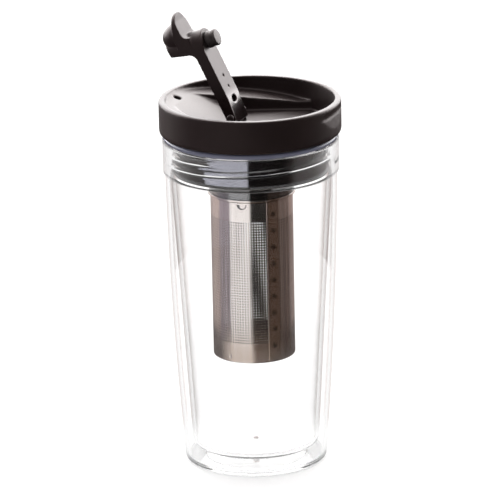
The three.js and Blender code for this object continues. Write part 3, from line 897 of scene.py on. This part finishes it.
def makeLever():
    wide, outer = lever["width"], lever["reach"] + lever["headFront"]
    arm = leverSlab("lever_black", headSide(), outer)
    carve(arm, leverSlab("tab", tabSide(), outer + lever["tabReach"]), "UNION")
    carve(arm, crown(), "UNION")
    carve(arm, rod("bore", lid["pinRadius"] + lever["boreGap"], (0, -wide, 0), (0, wide, 0)))
    reach, stemLow = lever["reach"], lever["headBottom"] - lever["margin"]
    carve(arm, rod("stem", lever["stemRadius"], (reach, 0, stemLow), (reach, 0, lever["stemTop"])))
    hole = underHole(lever["holeReach"], lever["holeRadius"], lever["holeDepth"])
    hole.data.transform(Matrix.Diagonal((1, lever["holeStretch"], 1, 1)))
    carve(arm, hole)
    for mark in lever["marks"]:
        carve(arm, underHole(mark, lever["markRadius"], lever["markDepth"]))
    return swingOpen(soften(arm, lever["grain"], lever["passes"]))


def makeStopper():
    low, high, edge, groove = stopper["bottom"], stopper["top"], stopper["edge"], stopper["groove"]
    radius = stopper["radius"]
    step = (high - low) / 6
    plug = lathe("stopper_silicone", [
        (0, low),
        *arc(radius - edge, low + edge, edge, -90, 0, 5),
        (radius, low + 2 * step),
        (radius - groove, low + 2.5 * step),
        (radius - groove, low + 3.5 * step),
        (radius, low + 4 * step),
        (radius, high),
        (stopper["stem"], high),
        (stopper["stem"], stopper["stemTop"]),
        (0, stopper["stemTop"]),
    ], 64)
    plug.data.transform(Matrix.Translation((lever["reach"] * mm, 0, 0)))
    return smooth(swingOpen(plug))


# Infuser

infuserFloor = dict(radius=19.3, bottom=52.2, sheet=0.6, edge=0.55, skirt=18.6, skirtTop=58.2, gap=0.05)
tubeSides = 168


def punchedCell(width, height):  # one hole in its patch of flat sheet
    bpy.ops.object.select_all(action="DESELECT")
    bpy.ops.mesh.primitive_circle_add(vertices=8, radius=basket["holeRadius"] * mm, fill_type="NOTHING")
    cell = bpy.context.object
    cell.name = cell.data.name = "infuser_basket_steel"
    editAll(cell)
    bpy.ops.mesh.primitive_plane_add(size=1)
    bpy.ops.mesh.delete(type="ONLY_FACE")
    bpy.ops.object.mode_set(mode="OBJECT")
    for vertex in cell.data.vertices:
        if abs(vertex.co.x) > 0.4:
            vertex.co.x *= width * mm
            vertex.co.y *= height * mm
    editAll(cell)
    bpy.ops.mesh.bridge_edge_loops()
    bpy.ops.object.mode_set(mode="OBJECT")
    return cell


def repeatAlong(piece, count, step):
    repeat = piece.modifiers.new("repeat", "ARRAY")
    repeat.count = count
    repeat.use_relative_offset = False
    repeat.use_constant_offset = True
    repeat.constant_offset_displace = Vector(step) * mm
    repeat.use_merge_vertices = True
    repeat.merge_threshold = 10 * mergeGap
    applyChange(piece, repeat)


def punchedTube():  # a flat sheet of cells, thickened, then rolled up as the real one is
    radius, seam = basket["radius"], math.radians(basket["seamAzimuth"])
    width = (2 * math.pi * radius - basket["seamWidth"]) / basket["columns"]
    sheet = punchedCell(width, basket["rowPitch"])
    repeatAlong(sheet, basket["columns"], (width, 0, 0))
    repeatAlong(sheet, basket["rows"], (0, basket["rowPitch"], 0))
    editAll(sheet)
    tidyMesh(sheet)
    thicken = sheet.modifiers.new("thicken", "SOLIDIFY")
    thicken.thickness = basket["sheet"] * mm
    thicken.offset = 0
    applyChange(sheet, thicken)
    for vertex in sheet.data.vertices:
        along = vertex.co.x / mm + width / 2 + basket["seamWidth"] / 2
        angle = seam + along / radius
        reach = (radius - basket["sheet"] / 2) * mm + vertex.co.z
        height = basket["firstRow"] * mm + vertex.co.y
        vertex.co = (reach * math.cos(angle), reach * math.sin(angle), height)
    editAll(sheet)
    return tidyMesh(sheet)


def upperBand():  # plain sheet above the holes, with the rolled rim
    low = basket["firstRow"] + (basket["rows"] - 0.5) * basket["rowPitch"]
    radius, inner, edge = basket["radius"], basket["radius"] - basket["sheet"], basket["rimEdge"]
    rim, rimLow = radius + basket["flange"], basket["top"] - basket["rimHeight"]
    band = lathe("upper band", [
        (inner, low),
        (radius, low),
        *arc(radius + edge, rimLow - edge, edge, 180, 90, 4),
        *arc(rim - edge, rimLow + edge, edge, -90, 0, 4),
        *arc(rim - edge, basket["top"] - edge, edge, 0, 90, 4),
        (inner, basket["top"]),
    ], tubeSides)
    for azimuth in basket["moonAzimuths"]:
        pressMoon(band, azimuth)
    return band


def halfBowl(radius, depth, azimuth):  # lower half of a flattened ball, set on the tube's outer face
    bpy.ops.object.select_all(action="DESELECT")
    bpy.ops.mesh.primitive_uv_sphere_add(segments=32, ring_count=24, radius=mm)
    bowl = bpy.context.object
    editAll(bowl)
    bpy.ops.mesh.bisect(plane_co=(0, 0, 0), plane_no=(0, 0, 1), use_fill=True, clear_outer=True)
    tidyMesh(bowl)
    place = Vector((basket["radius"], 0, basket["moonZ"])) * mm
    turn = Matrix.Rotation(math.radians(azimuth), 4, "Z")
    bowl.data.transform(turn @ Matrix.Translation(place) @ Matrix.Diagonal((depth, radius, radius, 1)))
    return bowl


def pressMoon(band, azimuth):  # the sheet is slit along the flat edge and pushed in below it
    radius, depth, sheet = basket["moonRadius"], basket["moonDepth"], basket["sheet"]
    z = basket["moonZ"]
    inside = disc("inside", basket["radius"] - sheet / 2, z - 2 * radius, z + radius)
    carve(band, carve(halfBowl(radius + sheet, depth + sheet, azimuth), inside, "INTERSECT"), "UNION")
    carve(band, halfBowl(radius, depth, azimuth))


def lowerBand():  # plain sheet below the holes
    high = basket["firstRow"] - basket["rowPitch"] / 2
    radius, inner = basket["radius"], basket["radius"] - basket["sheet"]
    profile = [(inner, basket["bottom"]), (radius, basket["bottom"]), (radius, high), (inner, high)]
    return lathe("lower band", profile, tubeSides)


def weldDent(azimuth, z, face):  # a shallow round dent left by the electrode
    bpy.ops.object.select_all(action="DESELECT")
    bpy.ops.mesh.primitive_uv_sphere_add(segments=24, ring_count=16, radius=basket["weldRadius"] * mm)
    dent = bpy.context.object
    reach = face + basket["weldRadius"] - basket["weldDepth"]
    turn = math.radians(azimuth)
    place = Vector((reach * math.cos(turn), reach * math.sin(turn), z)) * mm
    dent.data.transform(Matrix.Translation(place))
    return dent


def seamStrip():  # the lapped edge of the sheet, spot-welded down its length
    half = math.degrees(basket["seamWidth"] / 2 / basket["radius"])
    azimuth, face = basket["seamAzimuth"], basket["radius"] + basket["seamProud"]
    high = basket["top"] - basket["rimHeight"] - basket["rimEdge"]
    inner = basket["radius"] - basket["sheet"]
    slope = math.degrees(basket["seamEdge"] / basket["radius"])
    left, right = azimuth - half, azimuth + half
    outline = [
        *arc(0, 0, face, left + slope, right - slope, 16),
        *arc(0, 0, basket["radius"], right, right, 1)[:1],
        *arc(0, 0, inner, right, left, 16),
        *arc(0, 0, basket["radius"], left, left, 1)[:1],
    ]
    strip = prism("strip", [(x, y, basket["bottom"]) for x, y in outline], (0, 0, high - basket["bottom"]))
    for weld in range(basket["welds"]):
        carve(strip, weldDent(azimuth, basket["firstWeld"] + weld * basket["weldPitch"], face))
    return smooth(strip, 15)


def makeBasket():
    tube = punchedTube()
    low = lowerBand()
    for weld in range(basket["floorWelds"]):
        azimuth = basket["floorWeldAzimuth"] + 360 * weld / basket["floorWelds"]
        carve(low, weldDent(azimuth, basket["floorWeldZ"], basket["radius"]))
    return joinInto(smooth(tube), [smooth(upperBand()), smooth(low, 15), seamStrip()])


def makeInfuserFloor():
    low, sheet, edge = infuserFloor["bottom"], infuserFloor["sheet"], infuserFloor["edge"]
    skirt, top = infuserFloor["skirt"], infuserFloor["skirtTop"]
    return smooth(lathe("infuser_floor_steel", [
        (0, low),
        *arc(infuserFloor["radius"] - edge, low + edge, edge, -90, 60, 6),
        (skirt, low + sheet + infuserFloor["gap"]),
        (skirt, top),
        (skirt - sheet, top),
        (skirt - sheet, low + sheet),
        (0, low + sheet),
    ], tubeSides))


print("pieces follow")

dress(makeOuterWall(), outerPlastic, "flask", "clear_plastic", "outer_wall")
dress(makeLiner(), linerPlastic, "flask", "clear_plastic", "inner_liner")
dress(makeCollar(), collarPlastic, "flask", "clear_plastic", "neck_collar")
dress(makeGasket(), paleSilicone, "seal", "pale_silicone", "lid_gasket")
dress(makeNeck(), glossBlack, "lid", "black_plastic", "lid_neck")
dress(makeCap(), satinBlack, "lid", "black_plastic", "lid_cap")
dress(makePin(), darkSteel, "lid", "steel", "hinge_pin")
dress(makeLever(), leverBlack, "lever", "black_plastic", "lever")
dress(makeStopper(), darkSilicone, "lever", "dark_silicone", "stopper")

dress(makeBasket(), rolledSteel, "infuser", "steel", "infuser_basket")
dress(makeInfuserFloor(), rolledSteel, "infuser", "steel", "infuser_floor")

# Studio

studio = dict(
    floorSize=8,
    floorGap=0.05,  # millimetres under the foot
    floorColor=(0.9, 0.9, 0.9),
    floorGlow=0.16,
    overhead=1.1,
    overheadFrom=0.5,  # sine of the height at which the overhead light starts
    overheadTo=0.75,
    back=3.2,
    backTo=0.62,
    satinBack=8.5,  # the same light as satin faces mirror it
    satinTo=0.8,
    satinFront=0.3,  # share of the front cards that satin faces mirror
    cardStrength=1.5,
    nearFrom=0.2,  # metres from the axis where the ground next to the cup gives way to the cards
    nearTo=0.228,
    neckFrom=0.3,  # the neck mirrors the ground beyond this
    clearFrom=0.15,  # and the clear walls mirror their own cards beyond this
    clearTo=0.18,
)
# What stands round the flask, by degrees to the right of the camera, as polished faces mirror it
cards = [
    (-180, (0.33, 0.27, 0.25)),
    (-138, (0.33, 0.27, 0.25)),
    (-134, (0.5, 0.41, 0.38)),
    (-104, (0.5, 0.41, 0.38)),
    (-98, (0.27, 0.225, 0.26)),
    (-65, (0.27, 0.225, 0.26)),
    (-61, (1.0, 1.0, 1.0)),
    (-7, (1.0, 1.0, 1.0)),
    (-3, (0.013, 0.012, 0.011)),
    (40, (0.013, 0.012, 0.011)),
    (44, (0.085, 0.058, 0.045)),
    (78, (0.085, 0.058, 0.045)),
    (82, (0.18, 0.14, 0.127)),
    (96, (0.1, 0.075, 0.066)),
    (104, (0.2, 0.15, 0.135)),
    (112, (0.09, 0.066, 0.06)),
    (124, (0.3, 0.23, 0.21)),
    (180, (0.33, 0.27, 0.25)),
]
# The same as the neck mirrors it
neckCards = [
    (-180, (0.07, 0.055, 0.052)),
    (-70, (0.07, 0.055, 0.052)),
    (-66, (1.7, 1.7, 1.95)),
    (-7, (1.7, 1.7, 1.95)),
    (-3, (0.012, 0.01, 0.01)),
    (50, (0.012, 0.01, 0.01)),
    (70, (0.12, 0.09, 0.085)),
    (180, (0.07, 0.055, 0.052)),
]
# The ground next to the cup, seen in the lower end of the infuser
nearCards = [
    (-180, (0.06, 0.042, 0.036)),
    (-100, (0.06, 0.042, 0.036)),
    (-60, (0.6, 0.53, 0.47)),
    (-7, (0.6, 0.53, 0.47)),
    (5, (0.17, 0.125, 0.1)),
    (45, (0.12, 0.09, 0.07)),
    (90, (0.05, 0.036, 0.03)),
    (180, (0.06, 0.042, 0.036)),
]
# What the clear walls mirror: white ground, but for the dark side in front
clearCards = [
    (-180, (0.667, 0.667, 0.667)),
    (-7, (0.667, 0.667, 0.667)),
    (-3, (0.02, 0.018, 0.017)),
    (52, (0.02, 0.018, 0.017)),
    (60, (0.667, 0.667, 0.667)),
    (180, (0.667, 0.667, 0.667)),
]


def lightPath(tree):
    path = addNode(tree, "ShaderNodeLightPath")
    mirrored = path.out("Glossy Depth") > 0.5
    walls = path.out("Transmission Depth")  # faces of clear plastic passed so far
    satin = path.out("Is Glossy Ray") * (1 - path.out("Is Singular Ray")) * (walls < 0.5) * mirrored
    left = path.out("Is Transmission Ray") * mirrored  # mirrored inside the flask, then out through its walls
    straight = path.out("Is Transmission Ray") * (1 - mirrored) * (path.out("Diffuse Depth") < 0.5)
    seen = path.math("MAXIMUM", path.out("Is Camera Ray"), straight)
    return satin, left, walls, mirrored, seen


def cardColor(tree, place, stops):  # colour by the angle round the flask
    split = addNode(tree, "ShaderNodeSeparateXYZ", None, {0: place})
    angle = split.math("ARCTAN2", split.out("Y"), split.out("X"))
    turn = angle / (2 * math.pi) + (90 - photoView["azimuth"]) / 360 + 0.5
    stops = [(0.5 + degrees / 360, color) for degrees, color in stops]
    return addNode(tree, "ShaderNodeValToRGB", dict(stops=stops), {0: turn.math("FRACT", turn)})


def grey(strength):
    return paint([strength / studio["cardStrength"]] * 3)


def makeWorld():
    world = bpy.data.worlds.new("studio")
    bpy.context.scene.world = world
    world.use_nodes = True
    tree = world.node_tree
    background = tree.nodes["Background"]
    satin, left, walls, mirrored, seen = lightPath(tree)
    place = addNode(tree, "ShaderNodeTexCoord").out("Generated")
    split = addNode(tree, "ShaderNodeSeparateXYZ", None, {0: place})
    height = split.out("Z")
    turn = math.radians(photoView["azimuth"])
    behind = split.out("Y") * math.cos(turn) - split.out("X") * math.sin(turn)
    card = cardColor(tree, place, cards)
    card = mixColors(tree, satin * (1 - studio["satinFront"]), card, grey(0))
    over = ease(height, studio["overheadFrom"], studio["overheadTo"])
    light = mixColors(tree, over, card, grey(studio["overhead"]))
    lift = 1 - ease(height, studio["backTo"], 0.8)
    light = mixColors(tree, lift * ease(behind, 0.25, 0.6), light, grey(studio["back"]))
    lift = 1 - ease(height, studio["satinTo"], 0.97)
    light = mixColors(tree, satin * lift * ease(behind, 0.1, 0.4), light, grey(studio["satinBack"]))
    steel = left * (walls > 6.5)
    white = seen.math("MAXIMUM", seen, mirrored - satin - steel)
    color = mixColors(tree, white, light, grey(1))
    tree.links.new(color.socket, background.inputs["Color"])
    background.inputs["Strength"].default_value = studio["cardStrength"]


def makeFloor():
    bpy.ops.object.select_all(action="DESELECT")
    bpy.ops.mesh.primitive_plane_add(size=studio["floorSize"], location=(0, 0, -studio["floorGap"] * mm))
    floor = bpy.context.object
    floor.name = "floor"
    finish, tree, shader = newFinish("paleFloor")
    satin, left, walls, mirrored = lightPath(tree)[:4]
    setSockets(shader, Base_Color=paint(studio["floorColor"]), Roughness=1.0, Specular_IOR_Level=0.0)
    setSockets(shader, Emission_Color=paint((1, 1, 1)), Emission_Strength=studio["floorGlow"])
    place = objectPlace(tree)
    split = addNode(tree, "ShaderNodeSeparateXYZ", None, {0: place})
    reach = (split * split + split.out("Y") * split.out("Y")) ** 0.5
    near = 1 - ease(reach, studio["nearFrom"], studio["nearTo"])
    color = mixColors(tree, near, cardColor(tree, place, cards), cardColor(tree, place, nearCards))
    color = mixColors(tree, satin * (1 - studio["satinFront"]), color, grey(0))
    neckRay = (walls > 3.5) * (walls < 5.5) * (reach > studio["neckFrom"])
    polished = left * walls.math("MAXIMUM", neckRay, walls > 6.5)
    beyond = ease(reach, studio["clearFrom"], studio["clearTo"])
    clear = mixColors(tree, beyond, grey(1), cardColor(tree, place, clearCards))
    color = mixColors(tree, neckRay, color, cardColor(tree, place, neckCards))
    color = mixColors(tree, satin + polished, clear, color)
    card = addNode(tree, "ShaderNodeEmission", None, {"Color": color, "Strength": studio["cardStrength"]})
    pale = Wire(shader.outputs[0])
    mixed = addNode(tree, "ShaderNodeMixShader", None, {0: mirrored, 1: pale, 2: card})
    tree.links.new(mixed.socket, tree.nodes["Material Output"].inputs["Surface"])
    floor.data.materials.append(finish)


makeWorld()
makeFloor()

scene = bpy.context.scene
scene.view_settings.view_transform = "Standard"
scene.cycles.max_bounces = scene.cycles.transmission_bounces = 32  # light runs on inside the clear walls
scene.cycles.glossy_bounces = 24
